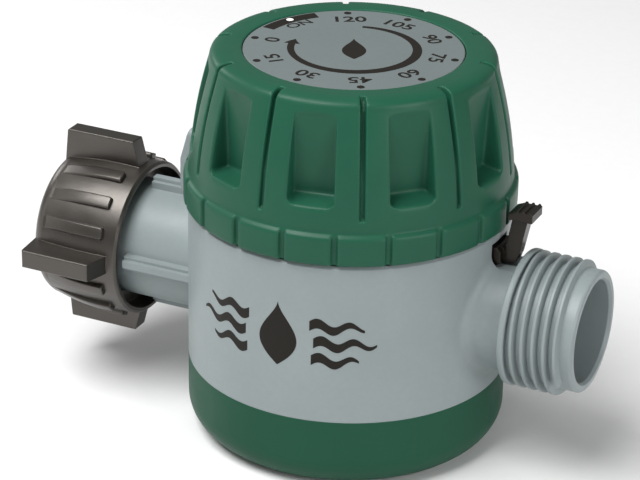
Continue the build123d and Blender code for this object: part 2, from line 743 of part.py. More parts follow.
def thumb_lever():
    """Bell crank: ridged thumb pad and arm outside, catch inside, hub on the pin between them."""
    px, pz = LEVER_PIVOT
    arm = slab([(30.5, 42.4), (34.6, 42.4), (35.9, 43.0), (36.4, 44.4), (37.8, 51.4), (37.8, 52.6),
                (34.9, 52.6), (34.7, 51.4), (33.8, 46.4), (33.1, 45.6), (30.5, 45.4)], 1.45)
    foot = slab([(27.0, 42.3), (32.8, 42.3), (33.4, 42.9), (33.3, 45.0), (32.5, 45.9), (27.0, 45.9)], 3.2)
    pad = slab([(34.2, 52.1), (39.2, 52.1), (39.2, 53.8), (35.6, 53.8), (34.2, 53.2)], 2.65)
    for x in (36.1, 37.4, 38.7):
        pad += slab([(x - 0.4, 53.7), (x - 0.2, 54.15), (x + 0.2, 54.15), (x + 0.4, 53.7)], 2.65)
    upright = slab([(26.2, 44.0), (27.9, 44.0), (27.7, 54.1), (25.4, 54.1), (23.4, 53.3),
                    (23.4, 52.8), (26.2, 52.8)], 2.2)
    lever = arm + foot + pad + upright + Pos(px, 0, pz) * Rot(90, 0, 0) * Cylinder(1.7, 6.4)
    return lever - Pos(px, 0, pz) * Rot(90, 0, 0) * Cylinder(LEVER_PIN_R + FIT, 20)


def lever_pin():
    px, pz = LEVER_PIVOT
    return Pos(px, 0, pz) * Rot(90, 0, 0) * Cylinder(LEVER_PIN_R, 12.6)


def lever_spring():
    """Small leaf that pushes the catch back inward."""
    return slab([(28.05, 47.4), (28.25, 47.4), (28.95, 52.8), (28.75, 52.8)], 1.4)


# Inlet

def nut_wing():
    """Thumb wing: nearly upright at the mouth's end, sloped at the inlet's end."""
    foot = INLET_Z + 13
    tip = INLET_Z + WING_R
    x0 = NUT_X0 + 0.4
    x1 = NUT_X1 - 1.2
    wing = slab([(x0, foot), (x0 + 0.8, tip), (x1 - 2.2, tip), (x1, foot)], 1.9)
    return fillet(wing.edges().group_by(Axis.Z)[-1], 0.3)


def nut_rib():
    """Grip rib that rises from nothing at the mouth's end to its full height at the other."""
    x0 = NUT_X0 + 2.2
    x1 = NUT_X1 - 3.4
    low = INLET_Z + NUT_R - 2
    flush = INLET_Z + NUT_R - 0.55
    rib = slab([(x0, low), (x0, flush), (x1, INLET_Z + NUT_R + 0.85), (x1, low)], 1.2)
    return fillet(rib.edges().filter_by(Axis.Z).group_by(Axis.X)[-1], 0.6)


def nut_barrel():
    """Slightly swollen barrel, rounded off more at the mouth's end."""
    z = INLET_Z
    x0 = NUT_X0
    x1 = NUT_X1
    chamfer = 0.5
    outline = [
        Line((x0, 0, z), (x0, 0, z + 13.9)),
        ThreePointArc((x0, 0, z + 13.9), (x0 + 0.9, 0, z + 14.9), (x0 + 2.6, 0, z + 15.5)),
        ThreePointArc((x0 + 2.6, 0, z + 15.5), (x0 + 10, 0, z + 16.2), (x1 - chamfer, 0, z + NUT_R)),
        Line((x1 - chamfer, 0, z + NUT_R), (x1, 0, z + NUT_R - chamfer)),
        Line((x1, 0, z + NUT_R - chamfer), (x1, 0, z)),
        Line((x1, 0, z), (x0, 0, z)),
    ]
    return revolve(make_face(outline), Axis((0, 0, z), (1, 0, 0)))


def swivel_nut():
    nut = nut_barrel()
    for wing in about_inlet(nut_wing(), (0, 90, 180, 270)):
        nut += wing
    for rib in about_inlet(nut_rib(), [22.5 * i for i in range(16) if i % 4]):
        nut += rib
    recess_x = NUT_X1 - 3.9
    mouth = [(NUT_X1 + 1, 0), (NUT_X1 + 1, 14.9), (NUT_X1, 14.9), (recess_x, 14.5), (recess_x, 0)]
    nut -= lathe_x(mouth, INLET_Z)
    nut -= rod(NUT_BORE_R, SHELF_X - 1, NUT_X1 + 1, INLET_Z)
    nut -= rod(FEMALE_R, NUT_X0 - 1, SHELF_X, INLET_Z)
    return nut - rod(FEMALE_R + 0.3, WASHER_X - WASHER_T, SHELF_X, INLET_Z)


def inlet_washer():
    x0 = WASHER_X - WASHER_T
    hole_r = 8.6
    rim_r = FEMALE_R - 0.4
    return lathe_x([(x0, hole_r), (x0, rim_r), (WASHER_X, rim_r), (WASHER_X, hole_r)], INLET_Z)


def inlet_filter():
    """Cone-shaped strainer whose rim is held between the washer and the inlet's lip."""
    rim = LIP_X - 0.05
    tip = LIP_X + 9.5
    return lathe_x([(rim - 0.3, 7.4), (rim - 0.3, 12.4), (rim, 12.4), (rim, 8.0), (tip, 2.6),
                    (tip, 0), (tip - 0.5, 0), (tip - 0.5, 2.1)], INLET_Z)


PARTS = {
    "base_cap": base_cap,
    "housing_body": housing_body,
    "valve_bonnet": valve_bonnet,
    "bonnet_screws": bonnet_screws,
    "diaphragm": diaphragm,
    "diaphragm_plate": diaphragm_plate,
    "valve_spring": valve_spring,
    "pilot_plunger": pilot_plunger,
    "plunger_seal": plunger_seal,
    "gland_cap": gland_cap,
    "plunger_spring": plunger_spring,
    "lower_plate": lower_plate,
    "upper_plate": upper_plate,
    "clock_pillars": clock_pillars,
    "clock_screws": clock_screws,
    "dial_arbor": dial_arbor,
    "great_wheel": great_wheel,
    "clutch_washer": clutch_washer,
    "mainspring": mainspring,
    "spring_post": spring_post,
    "second_pinion": second_pinion,
    "second_wheel": second_wheel,
    "escape_pinion": escape_pinion,
    "escape_wheel": escape_wheel,
    "verge": verge,
    "verge_pins": verge_pins,
    "verge_arbor": verge_arbor,
    "valve_cam": cam,
    "dial_knob": dial_knob,
    "dial_label": dial_label,
    "knob_screw": knob_screw,
    "thumb_lever": thumb_lever,
    "lever_pin": lever_pin,
    "lever_spring": lever_spring,
    "swivel_nut": swivel_nut,
    "inlet_washer": inlet_washer,
    "inlet_filter": inlet_filter,
}


def main():
    os.makedirs("parts", exist_ok=True)
    for name, make in PARTS.items():
        shape = make()
        if isinstance(shape, list):
            shape = Compound(children=shape)
        export_step(shape, f"parts/{name}.step")


main()
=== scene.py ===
import json
import math

import bmesh
import bpy
from mathutils import Matrix, Vector


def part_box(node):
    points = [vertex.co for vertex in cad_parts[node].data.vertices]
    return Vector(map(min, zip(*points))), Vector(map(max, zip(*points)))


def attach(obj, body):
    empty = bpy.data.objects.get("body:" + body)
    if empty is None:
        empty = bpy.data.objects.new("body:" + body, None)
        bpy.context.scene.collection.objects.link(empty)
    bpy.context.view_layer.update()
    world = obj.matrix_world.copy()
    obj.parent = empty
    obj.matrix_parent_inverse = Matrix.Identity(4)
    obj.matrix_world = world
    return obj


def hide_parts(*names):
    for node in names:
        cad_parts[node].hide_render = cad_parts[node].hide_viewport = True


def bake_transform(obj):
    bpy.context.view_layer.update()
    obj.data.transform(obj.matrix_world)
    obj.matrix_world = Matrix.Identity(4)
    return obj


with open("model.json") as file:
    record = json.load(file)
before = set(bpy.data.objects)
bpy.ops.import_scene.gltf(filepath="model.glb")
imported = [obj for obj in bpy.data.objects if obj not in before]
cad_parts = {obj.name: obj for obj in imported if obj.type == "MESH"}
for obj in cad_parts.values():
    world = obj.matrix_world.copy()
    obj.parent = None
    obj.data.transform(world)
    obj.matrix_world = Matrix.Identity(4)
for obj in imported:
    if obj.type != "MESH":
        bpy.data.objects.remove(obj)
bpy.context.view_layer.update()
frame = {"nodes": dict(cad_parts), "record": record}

# A wind-up hose tap timer. Metres; +Z up, +X out of the outlet, -Y the front.

MM = 0.001
NODES = frame["nodes"]
BASE_LO, BASE_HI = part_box("base_cap")
NUT_LO, NUT_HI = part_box("swivel_nut")

BODY_R = BASE_HI.x
LABEL_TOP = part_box("dial_label")[1].z
INLET_Z = (NUT_LO.z + NUT_HI.z) / 2


# Materials

class Graph:
    """Small helper that adds nodes to one material and wires them."""

    def __init__(self, name):
        self.material = bpy.data.materials.new(name)
        self.material.use_nodes = True
        self.tree = self.material.node_tree
        self.shader = self.tree.nodes["Principled BSDF"]

    def add(self, kind, inputs=None, **settings):
        node = self.tree.nodes.new(kind)
        for key, value in settings.items():
            setattr(node, key, value)
        for key, value in (inputs or {}).items():
            self.set(node.inputs[key], value)
        return node

    def set(self, socket, value):
        if isinstance(value, bpy.types.NodeSocket):
            self.tree.links.new(value, socket)
        else:
            socket.default_value = value

    def position(self):
        return self.add("ShaderNodeTexCoord").outputs["Object"]

    def noise(self, scale, detail=3.0, roughness=0.5):
        inputs = {"Vector": self.position(), "Scale": scale, "Detail": detail, "Roughness": roughness}
        return self.add("ShaderNodeTexNoise", inputs).outputs["Fac"]

    def span(self, value, low, high, out_low, out_high):
        inputs = {"Value": value, "From Min": low, "From Max": high, "To Min": out_low, "To Max": out_high}
        return self.add("ShaderNodeMapRange", inputs).outputs["Result"]

    def mix(self, factor, first, second):
        """Blend of two colours; 6 and 7 are a mix node's colour inputs, and 2 is its colour output."""
        node = self.add("ShaderNodeMix", data_type="RGBA")
        self.set(node.inputs["Factor"], factor)
        self.set(node.inputs[6], first)
        self.set(node.inputs[7], second)
        return node.outputs[2]

    def math(self, operation, first, second=0.0):
        return self.add("ShaderNodeMath", {0: first, 1: second}, operation=operation).outputs[0]

    def bump(self, height, strength, distance, normal=None):
        inputs = {"Height": height, "Strength": strength, "Distance": distance}
        if normal is not None:
            inputs["Normal"] = normal
        return self.add("ShaderNodeBump", inputs).outputs["Normal"]

    def rounded(self, radius):
        """Normal that rounds sharp edges, and how near a point is to an outward edge."""
        bevel = self.add("ShaderNodeBevel", {"Radius": radius}, samples=6)
        geometry = self.add("ShaderNodeNewGeometry")
        inputs = {0: bevel.outputs[0], 1: geometry.outputs["Normal"]}
        along = self.add("ShaderNodeVectorMath", inputs, operation="DOT_PRODUCT")
        edge = self.span(along.outputs["Value"], 0.995, 0.80, 0.0, 1.0)
        outward = self.span(geometry.outputs["Pointiness"], 0.49, 0.53, 0.0, 1.0)
        return bevel.outputs[0], self.math("MULTIPLY", edge, outward)


def tint(colour, factor):
    return (*[min(1.0, c * factor) for c in colour[:3]], 1.0)


def plastic(name, colour, gloss, grain, edge_radius=0.25 * MM, painted_edge_highlight=1.5, mottling=0.10, shine=0.3,
            glint=(1.0, 1.0, 1.0, 1.0)):
    """Moulded plastic: fine mould grain, slow colour and gloss drift, and a painted highlight that makes
    outward edges paler.
    """
    g = Graph(name)
    normal, edge = g.rounded(edge_radius)
    drift = g.noise(55.0, 4.0)
    fine = g.noise(900.0, 2.0)
    speck = g.noise(3200.0, 1.0)
    body = g.mix(g.span(drift, 0.3, 0.7, 0.0, 1.0), tint(colour, 1 - mottling), tint(colour, 1 + mottling))
    body = g.mix(g.span(fine, 0.35, 0.65, 0.0, 0.25), body, tint(colour, 0.90))
    # Painted highlight: outward edges get a paler colour.
    body = g.mix(g.math("MULTIPLY", edge, 0.55), body, tint(colour, painted_edge_highlight))
    g.set(g.shader.inputs["Base Color"], body)
    rough = g.span(g.noise(140.0, 3.0), 0.3, 0.7, gloss - 0.05, gloss + 0.06)
    g.set(g.shader.inputs["Roughness"], rough)
    height = g.math("ADD", g.math("MULTIPLY", fine, 0.7), speck)
    g.set(g.shader.inputs["Normal"], g.bump(height, grain, 0.05 * MM, normal))
    g.set(g.shader.inputs["Specular IOR Level"], shine)
    g.set(g.shader.inputs["Specular Tint"], glint)
    return g.material


def metal(name, colour, roughness, brushed=600.0, edge_radius=0.1 * MM):
    """Turned or rolled metal with fine directional scratches and tarnish."""
    g = Graph(name)
    normal, edge = g.rounded(edge_radius)
    stretch = g.add("ShaderNodeMapping", {"Vector": g.position(), "Scale": (1.0, 1.0, 9.0)})
    lines = g.add("ShaderNodeTexNoise", {"Vector": stretch.outputs[0], "Scale": brushed, "Detail": 2.0})
    tarnish = g.noise(220.0, 4.0)
    body = g.mix(g.span(tarnish, 0.4, 0.7, 0.0, 0.6), tint(colour, 1.0), tint(colour, 0.72))
    # Painted highlight: outward edges get a colour a quarter lighter.
    body = g.mix(g.math("MULTIPLY", edge, 0.5), body, tint(colour, 1.25))
    g.set(g.shader.inputs["Base Color"], body)
    g.set(g.shader.inputs["Metallic"], 1.0)
    g.set(g.shader.inputs["Roughness"], g.span(tarnish, 0.3, 0.7, roughness - 0.06, roughness + 0.12))
    g.set(g.shader.inputs["Normal"], g.bump(lines.outputs["Fac"], 0.12, 0.03 * MM, normal))
    return g.material


def rubber(name, colour):
    """Moulded rubber with a bloom of talc in its fine grain."""
    g = Graph(name)
    fine = g.noise(1400.0, 3.0)
    bloom = g.noise(120.0, 5.0)
    body = g.mix(g.span(bloom, 0.45, 0.8, 0.0, 0.5), colour, tint(colour, 2.6))
    g.set(g.shader.inputs["Base Color"], body)
    g.set(g.shader.inputs["Roughness"], g.span(bloom, 0.3, 0.7, 0.62, 0.80))
    g.set(g.shader.inputs["Normal"], g.bump(fine, 0.35, 0.05 * MM))
    return g.material


def ink(name, colour):
    """Pad-printed ink: slightly glossy, thin and uneven in places."""
    g = Graph(name)
    thin = g.noise(900.0, 4.0)
    body = g.mix(g.span(thin, 0.55, 0.8, 0.0, 0.5), colour, tint(colour, 1.6))
    g.set(g.shader.inputs["Base Color"], body)
    g.set(g.shader.inputs["Roughness"], g.span(thin, 0.3, 0.7, 0.42, 0.55))
    g.set(g.shader.inputs["Specular IOR Level"], 0.15)
    g.set(g.shader.inputs["Normal"], g.bump(thin, 0.08, 0.02 * MM))
    return g.material


def woven_mesh(name, colour):
    """Fine woven strainer cloth drawn as crossing wires."""
    g = Graph(name)
    waves = []
    for axis in ("X", "Y", "Z"):
        inputs = {"Vector": g.position(), "Scale": 420.0}
        wave = g.add("ShaderNodeTexWave", inputs, bands_direction=axis, wave_profile="SIN")
        waves.append(wave.outputs["Fac"])
    weave = g.math("MAXIMUM", g.math("MAXIMUM", waves[0], waves[1]), waves[2])
    g.set(g.shader.inputs["Base Color"], g.mix(weave, tint(colour, 0.2), tint(colour, 1.1)))
    g.set(g.shader.inputs["Metallic"], 0.9)
    g.set(g.shader.inputs["Roughness"], 0.35)
    g.set(g.shader.inputs["Normal"], g.bump(weave, 0.6, 0.1 * MM))
    return g.material


GREEN = (0.014, 0.068, 0.040, 1.0)
DIAL_GREEN = (0.012, 0.078, 0.045, 1.0)
GRAY = (0.232, 0.268, 0.272, 1.0)
LABEL_GRAY = (0.135, 0.160, 0.160, 1.0)
NUT_BLACK = (0.013, 0.011, 0.009, 1.0)
LEVER_BLACK = (0.008, 0.0065, 0.005, 1.0)
NATURAL = (0.72, 0.69, 0.60, 1.0)
WARM = (1.0, 0.93, 0.86, 1.0)

# Each plastic gets outward edges painted paler as a highlight, strongest on the dial, label, nut and lever.
MATERIALS = {
    "green_plastic": plastic("green_plastic", GREEN, gloss=0.42, grain=0.08, painted_edge_highlight=1.6,
                             mottling=0.04, shine=0.09),
    "dial_green": plastic("dial_green", DIAL_GREEN, gloss=0.38, grain=0.10, edge_radius=0.5 * MM,
                          painted_edge_highlight=2.6, mottling=0.06, shine=0.18),
    "gray_plastic": plastic("gray_plastic", GRAY, gloss=0.42, grain=0.12, painted_edge_highlight=1.15, mottling=0.04),
    "label": plastic("label", LABEL_GRAY, gloss=0.36, grain=0.06, painted_edge_highlight=2.4, mottling=0.03),
    "black_nut": plastic("black_nut", NUT_BLACK, gloss=0.35, grain=0.28, painted_edge_highlight=7.0, shine=1.0,
                         glint=WARM),
    "black_lever": plastic("black_lever", LEVER_BLACK, gloss=0.26, grain=0.14, painted_edge_highlight=3.6, shine=0.28,
                           glint=WARM),
    "natural_plastic": plastic("natural_plastic", NATURAL, gloss=0.38, grain=0.08, painted_edge_highlight=1.1),
    "rubber": rubber("rubber", (0.018, 0.018, 0.018, 1.0)),
    "brass": metal("brass", (0.78, 0.57, 0.25, 1.0), 0.28),
    "steel": metal("steel", (0.58, 0.58, 0.60, 1.0), 0.25),
    "spring_steel": metal("spring_steel", (0.36, 0.38, 0.44, 1.0), 0.30),
    "screws": metal("screws", (0.70, 0.70, 0.70, 1.0), 0.22),
    "mesh": woven_mesh("mesh", (0.55, 0.55, 0.55, 1.0)),
}
BLACK_INK = ink("black_ink", (0.012, 0.010, 0.008, 1.0))
WHITE_INK = ink("white_ink", (0.80, 0.80, 0.78, 1.0))


def finish_cad_nodes():
    """Gives every CAD node the material of its slot."""
    for entry in frame["record"]["subparts"]:
        node = NODES[entry["node"]]
        node.data.materials.clear()
        node.data.materials.append(MATERIALS[entry["material_slot"]])


# Helpers for outlines, in millimetres, and meshes

def circle_through(a, b, c):
    """Centre and radius of the circle through three (r, z) points."""
    (ax, ay), (bx, by), (cx, cy) = a, b, c
    d = 2 * (ax * (by - cy) + bx * (cy - ay) + cx * (ay - by))
    aa, bb, cc = ax * ax + ay * ay, bx * bx + by * by, cx * cx + cy * cy
    x = (aa * (by - cy) + bb * (cy - ay) + cc * (ay - by)) / d
    y = (aa * (cx - bx) + bb * (ax - cx) + cc * (bx - ax)) / d
    return x, y, math.hypot(ax - x, ay - y)


def ramp(value, points):
    """Straight-line interpolation through (value, result) points in rising order."""
    for (a, fa), (b, fb) in zip(points, points[1:]):
        if value <= b:
            share = max(0.0, (value - a) / (b - a))
            return fa + (fb - fa) * share
    return points[-1][1]


def spread(start, end, count):
    """Evenly spaced values between two ends, without the ends."""
    return [start + (end - start) * (i + 1) / (count + 1) for i in range(count)]


def close_tube(mesh, rings):
    """Joins rings of corners one after another and closes both ends."""
    for ring, after in zip(rings, rings[1:]):
        for k in range(len(ring)):
            m = (k + 1) % len(ring)
            mesh.faces.new((ring[k], ring[m], after[m], after[k]))
    mesh.faces.new(rings[0])
    mesh.faces.new(rings[-1])


def place_object(name, data):
    """Puts a new object of some data into the scene."""
    thing = bpy.data.objects.new(name, data)
    bpy.context.scene.collection.objects.link(thing)
    return thing


def mesh_object(name, mesh, material, sharp_degrees=180):
    """Makes a smooth-shaded object of a bmesh; edges steeper than the given angle stay sharp."""
    bmesh.ops.recalc_face_normals(mesh, faces=mesh.faces)
    for face in mesh.faces:
        face.smooth = True
    for edge in mesh.edges:
        edge.smooth = edge.calc_face_angle(0.0) < math.radians(sharp_degrees)
    data = bpy.data.meshes.new(name)
    mesh.to_mesh(data)
    mesh.free()
    data.materials.append(material)
    return place_object(name, data)


# Springs, in millimetres: the body each one pushes, the height where it's held and where it moves
SPRINGS = {
    "valve_spring": ("valve", 13.6, 17.3),
    "plunger_spring": ("plunger", 42.6, 45.9),
    "lever_spring": ("lever", 47.8, 52.0),
}


def build_springs():
    """Puts a copy of each spring where the CAD spring stands and hides the CAD spring; the copies keep their
    shape.
    """
    for node, (body, held, moving) in SPRINGS.items():
        source = NODES[node]
        spring = place_object(node + "_flexing", source.data.copy())
        spring.matrix_world = source.matrix_world.copy()
        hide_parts(node)
        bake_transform(spring)


# Dial knob, in millimetres: one closed mesh, built section by section up its outside and down its inside

GROOVES = 10
SECTOR = math.radians(360 / GROOVES)
DIAL_TURN = math.radians(10.5)
BAND_R = 32.9
SKIRT_Z = 48.9
CONE_FOOT = (32.0, 55.1)
CONE_MIDDLE = (30.9, 65.0)
CONE_TOP = (27.9, 78.0)
KNOB_TOP = 80.0
POCKET_R = 21.6
POCKET_FLOOR = 79.0
SCREW_HEAD_R = 2.4
SCREW_SEAT = 77.7
SCREW_R = 1.1
ARBOR_TOP = 76.1
ARBOR_R = 2.53
HUB_FOOT = 69.4
HUB_R = 6.0
CAVITY_R = 25.4
CAVITY_TOP = 77.5
CAVITY_STEP = 55.5
SKIRT_INNER_R = 30.9
RECESS_FOOT = 60.0
RECESS_TOP = 77.8
RECESS_FLOOR = [(RECESS_FOOT, 26.9), (78.4, 27.95)]
RECESS_HALF_AT_FOOT = 4.4
RECESS_HALF_AT_TOP = 4.0
RECESS_CORNER = 1.3
RECESS_HALF_ANGLE = math.radians(7.0)
NOTCH_FLOOR = 32.15
# Height, and the radius of a groove's floor there
GROOVE_FLOOR = [(57.6, 31.9), (57.75, 31.5), (57.95, 31.0), (58.2, 30.75), (65.0, 30.0), (78.0, 26.6)]
# Over the crown the floor goes in and up, while the surface goes in from one radius to the other
GROOVE_END_RADII = (28.0, 24.8)
GROOVE_END_IN = 1.8
GROOVE_END_UP = 1.3
GROOVE_END_DROP = 0.2
# Sideways distance from an edge, and how deep the surface is there as a share of the full depth
RECESS_EDGE = [(-0.50, 1.0), (-0.24, 0.975), (-0.08, 0.88), (0.0, 0.62), (0.05, 0.32), (0.12, 0.12),
               (0.24, 0.035), (0.45, 0.0)]
GROOVE_EDGE = [(0.88, 0.0), (0.64, 0.05), (0.50, 0.30), (0.44, 0.75), (0.33, 1.0), (0.0, 1.0)]
NOTCH_EDGE = [(-1.05, 0.0), (-0.78, 0.07), (-0.62, 0.32), (-0.54, 0.75), (-0.42, 1.0), (0.0, 1.0),
              (0.42, 1.0), (0.54, 0.75), (0.62, 0.32), (0.78, 0.07), (1.05, 0.0)]
# Height over a recess's foot, and how deep the recess is there as a share of its full depth
RECESS_LEDGE = [(-0.30, 0.0), (-0.05, 0.03), (0.08, 0.11), (0.82, 0.89), (0.98, 0.975), (1.25, 1.0)]
RECESS_RUNOUT = 0.9
# Columns of mesh in half a sector, and the column where a recess's edge and a notch start
COLUMNS = 35
RECESS_COLUMN = 4
NOTCH_COLUMN = 14

CONE_ARC = circle_through(CONE_FOOT, CONE_MIDDLE, CONE_TOP)


def cone_radius(z):
    """Radius of the knob's slightly bulging cone at a height."""
    x, y, radius = CONE_ARC
    return x + math.copysign(math.sqrt(radius * radius - (z - y) ** 2), CONE_MIDDLE[0] - x)


def depth_shares(edge, first, before=0.0):
    """Share of a feature's depth at each column, where its edge starts at a given column."""
    shares = [before] * first + [depth for _, depth in edge]
    return shares + [0.0] * (COLUMNS - len(shares))


RECESS_SHARES = depth_shares(RECESS_EDGE, RECESS_COLUMN, 1.0)
NOTCH_SHARES = depth_shares(NOTCH_EDGE, NOTCH_COLUMN)
GROOVE_SHARES = depth_shares(GROOVE_EDGE, COLUMNS - len(GROOVE_EDGE))


def recess_depth(z):
    """Share of the full depth of a finger recess at a height; its foot is a nearly flat ledge."""
    ledge = [(RECESS_FOOT + height, share) for height, share in RECESS_LEDGE]
    return ramp(z, ledge + [(RECESS_TOP - RECESS_RUNOUT, 1.0), (RECESS_TOP, 0.0)])


def recess_half_width(z):
    """Half width of a recess, narrower upwards, with rounded corners at its foot."""
    width = ramp(z, [(RECESS_FOOT, RECESS_HALF_AT_FOOT), (RECESS_TOP, RECESS_HALF_AT_TOP)])
    corner = RECESS_CORNER
    rise = min(corner, max(0.0, z - RECESS_FOOT))
    return width - (corner - math.sqrt(corner ** 2 - (corner - rise) ** 2))


def groove_floor_point(r, z):
    """Point on the groove's floor that belongs to an outline point (r, z)."""
    end_z, end_r = GROOVE_FLOOR[-1]
    if z >= end_z:
        outer, inner = GROOVE_END_RADII
        share = ramp(-r, [(-outer, 0.0), (-inner, 1.0)])
        return end_r - GROOVE_END_IN * share, end_z - GROOVE_END_DROP + GROOVE_END_UP * share
    return min(r, ramp(z, GROOVE_FLOOR)), z


def band_angles():
    """Angles of a half sector's columns on the notched band, where the notch needs them close together."""
    count = RECESS_COLUMN + len(RECESS_EDGE)
    recess = [RECESS_HALF_ANGLE * i / (count - 1) for i in range(count)]
    notch = [SECTOR / 4 + offset / BAND_R for offset, _ in NOTCH_EDGE]
    groove = [SECTOR / 2 - offset / CONE_FOOT[0] for offset, _ in GROOVE_EDGE]
    angles = recess + spread(recess[-1], notch[0], NOTCH_COLUMN - count) + notch
    return angles + spread(notch[-1], groove[0], COLUMNS - len(angles) - len(groove)) + groove


def cone_angles(r, z):
    """Angles of a half sector's columns on the cone, where the recess and the groove need them."""
    half = recess_half_width(z)
    across = [share * (half - 0.5) for share in (0.0, 0.3, 0.6, 0.85)]
    across += [half + offset for offset, _ in RECESS_EDGE]
    recess = [math.asin(y / r) for y in across]
    groove = [SECTOR / 2 - math.asin(offset / r) for offset, _ in GROOVE_EDGE]
    return recess + spread(recess[-1], groove[0], COLUMNS - len(recess) - len(groove)) + groove


def half_section(r, z, on_band):
    """Points from the middle of a recess to the middle of a groove, round the outline point (r, z)."""
    floor_r, floor_z = groove_floor_point(r, z)
    sunk = recess_depth(z)
    recess_floor = ramp(z, RECESS_FLOOR)
    points = []
    for i, (cone, band) in enumerate(zip(cone_angles(r, z), band_angles())):
        angle = cone + (band - cone) * on_band
        groove = GROOVE_SHARES[i] * (1 - on_band)
        radius = r - NOTCH_SHARES[i] * on_band * max(0.0, r - NOTCH_FLOOR)
        radius -= groove * (r - floor_r)
        height = z + groove * (floor_z - z)
        x = radius * math.cos(angle)
        x -= RECESS_SHARES[i] * sunk * max(0.0, x - recess_floor)
        points.append((x, radius * math.sin(angle), height))
    return points


def band_outline():
    """(r, z) points up the notched band, with rounded lower and upper edges."""
    lower = [(-0.40, 0.0), (-0.18, 0.07), (-0.05, 0.22), (0.0, 0.5), (0.0, 1.9), (0.0, 3.5), (0.0, 4.8)]
    upper = [(-0.03, 5.3), (-0.14, 5.6), (-0.45, 5.88), (-0.78, 6.1), (-0.9, 6.22)]
    return [(BAND_R + out, SKIRT_Z + up) for out, up in lower + upper]


def cone_heights():
    """Heights of the cone's rows over the band, close together where a groove or a recess starts or ends."""
    heights = [z for z, _ in GROOVE_FLOOR[:4]] + [58.9]
    heights += [RECESS_FOOT + up for up, _ in RECESS_LEDGE]
    heights += [RECESS_FOOT + up for up in (0.2, 0.45, 0.7, 1.7)]
    heights += [RECESS_FOOT + 1.7 + 1.1 * (i + 1) for i in range(13)]
    heights += [RECESS_TOP - down for down in (RECESS_RUNOUT, 0.6, 0.3, 0.0)]
    return sorted(heights)


def crown_outline():
    """(r, z) points over the rounded shoulder to the flat top ring."""
    shoulder = [(0.0, -2.0), (-0.06, -1.5), (-0.22, -1.05), (-0.48, -0.7), (-0.85, -0.44), (-1.4, -0.22),
                (-2.2, -0.06), (-2.95, 0.0)]
    return [(CONE_TOP[0] + out, KNOB_TOP + up) for out, up in shoulder]


def outer_outline():
    """(r, z, band share) points up the outside, from the skirt's lower edge to the top ring."""
    band_end = [(55.4, 1.0), (57.3, 0.0)]
    rows = [(r, z, 1.0) for r, z in band_outline()]
    rows += [(cone_radius(z), z, ramp(z, band_end)) for z in (55.4, 56.0, 56.7, 57.3)]
    rows += [(cone_radius(z), z, 0.0) for z in cone_heights()]
    return rows + [(r, z, 0.0) for r, z in crown_outline()]


# (r, z) points from the top ring into the label's pocket, down the hub's bore, and round the cavity
INNER_OUTLINE = [
    (24.75, KNOB_TOP), (24.0, KNOB_TOP), (POCKET_R + 0.3, KNOB_TOP), (POCKET_R + 0.08, KNOB_TOP - 0.05),
    (POCKET_R, KNOB_TOP - 0.2), (POCKET_R, POCKET_FLOOR), (SCREW_HEAD_R, POCKET_FLOOR),
    (SCREW_HEAD_R, SCREW_SEAT), (SCREW_R, SCREW_SEAT), (SCREW_R, ARBOR_TOP), (ARBOR_R, ARBOR_TOP),
    (ARBOR_R, HUB_FOOT), (HUB_R, HUB_FOOT), (HUB_R, CAVITY_TOP), (CAVITY_R, CAVITY_TOP),
    (CAVITY_R, CAVITY_STEP), (SKIRT_INNER_R, CAVITY_STEP), (SKIRT_INNER_R, SKIRT_Z), (32.2, SKIRT_Z),
]


def whole_ring(half):
    """Copies half a sector, mirrored and turned, all the way round."""
    mirrored = [(x, -y, z) for x, y, z in half[-2:0:-1]]
    sector = mirrored + half
    ring = []
    for index in range(GROOVES):
        turn = DIAL_TURN + SECTOR * (index + 0.5)
        c, s = math.cos(turn), math.sin(turn)
        ring += [(x * c - y * s, x * s + y * c, z) for x, y, z in sector]
    return ring


def build_knob():
    rings = [whole_ring(half_section(r, z, on_band)) for r, z, on_band in outer_outline()]
    for r, z in INNER_OUTLINE:
        rings.append(whole_ring([(r * math.cos(a), r * math.sin(a), z) for a in band_angles()]))
    mesh = bmesh.new()
    rows = [[mesh.verts.new([c * MM for c in point]) for point in ring] for ring in rings]
    for row, above in zip(rows, rows[1:] + rows[:1]):
        for i in range(len(row)):
            j = (i + 1) % len(row)
            mesh.faces.new((row[i], row[j], above[j], above[i]))
    knob = mesh_object("knob_moulding", mesh, MATERIALS["dial_green"], 50)
    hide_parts("dial_knob")
    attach(knob, "dial")


# Printed marks: thin solids just proud of the surface under them

def around(radius, degrees):
    """Point at a distance from the dial's middle, in a direction."""
    return radius * math.cos(math.radians(degrees)), radius * math.sin(math.radians(degrees))


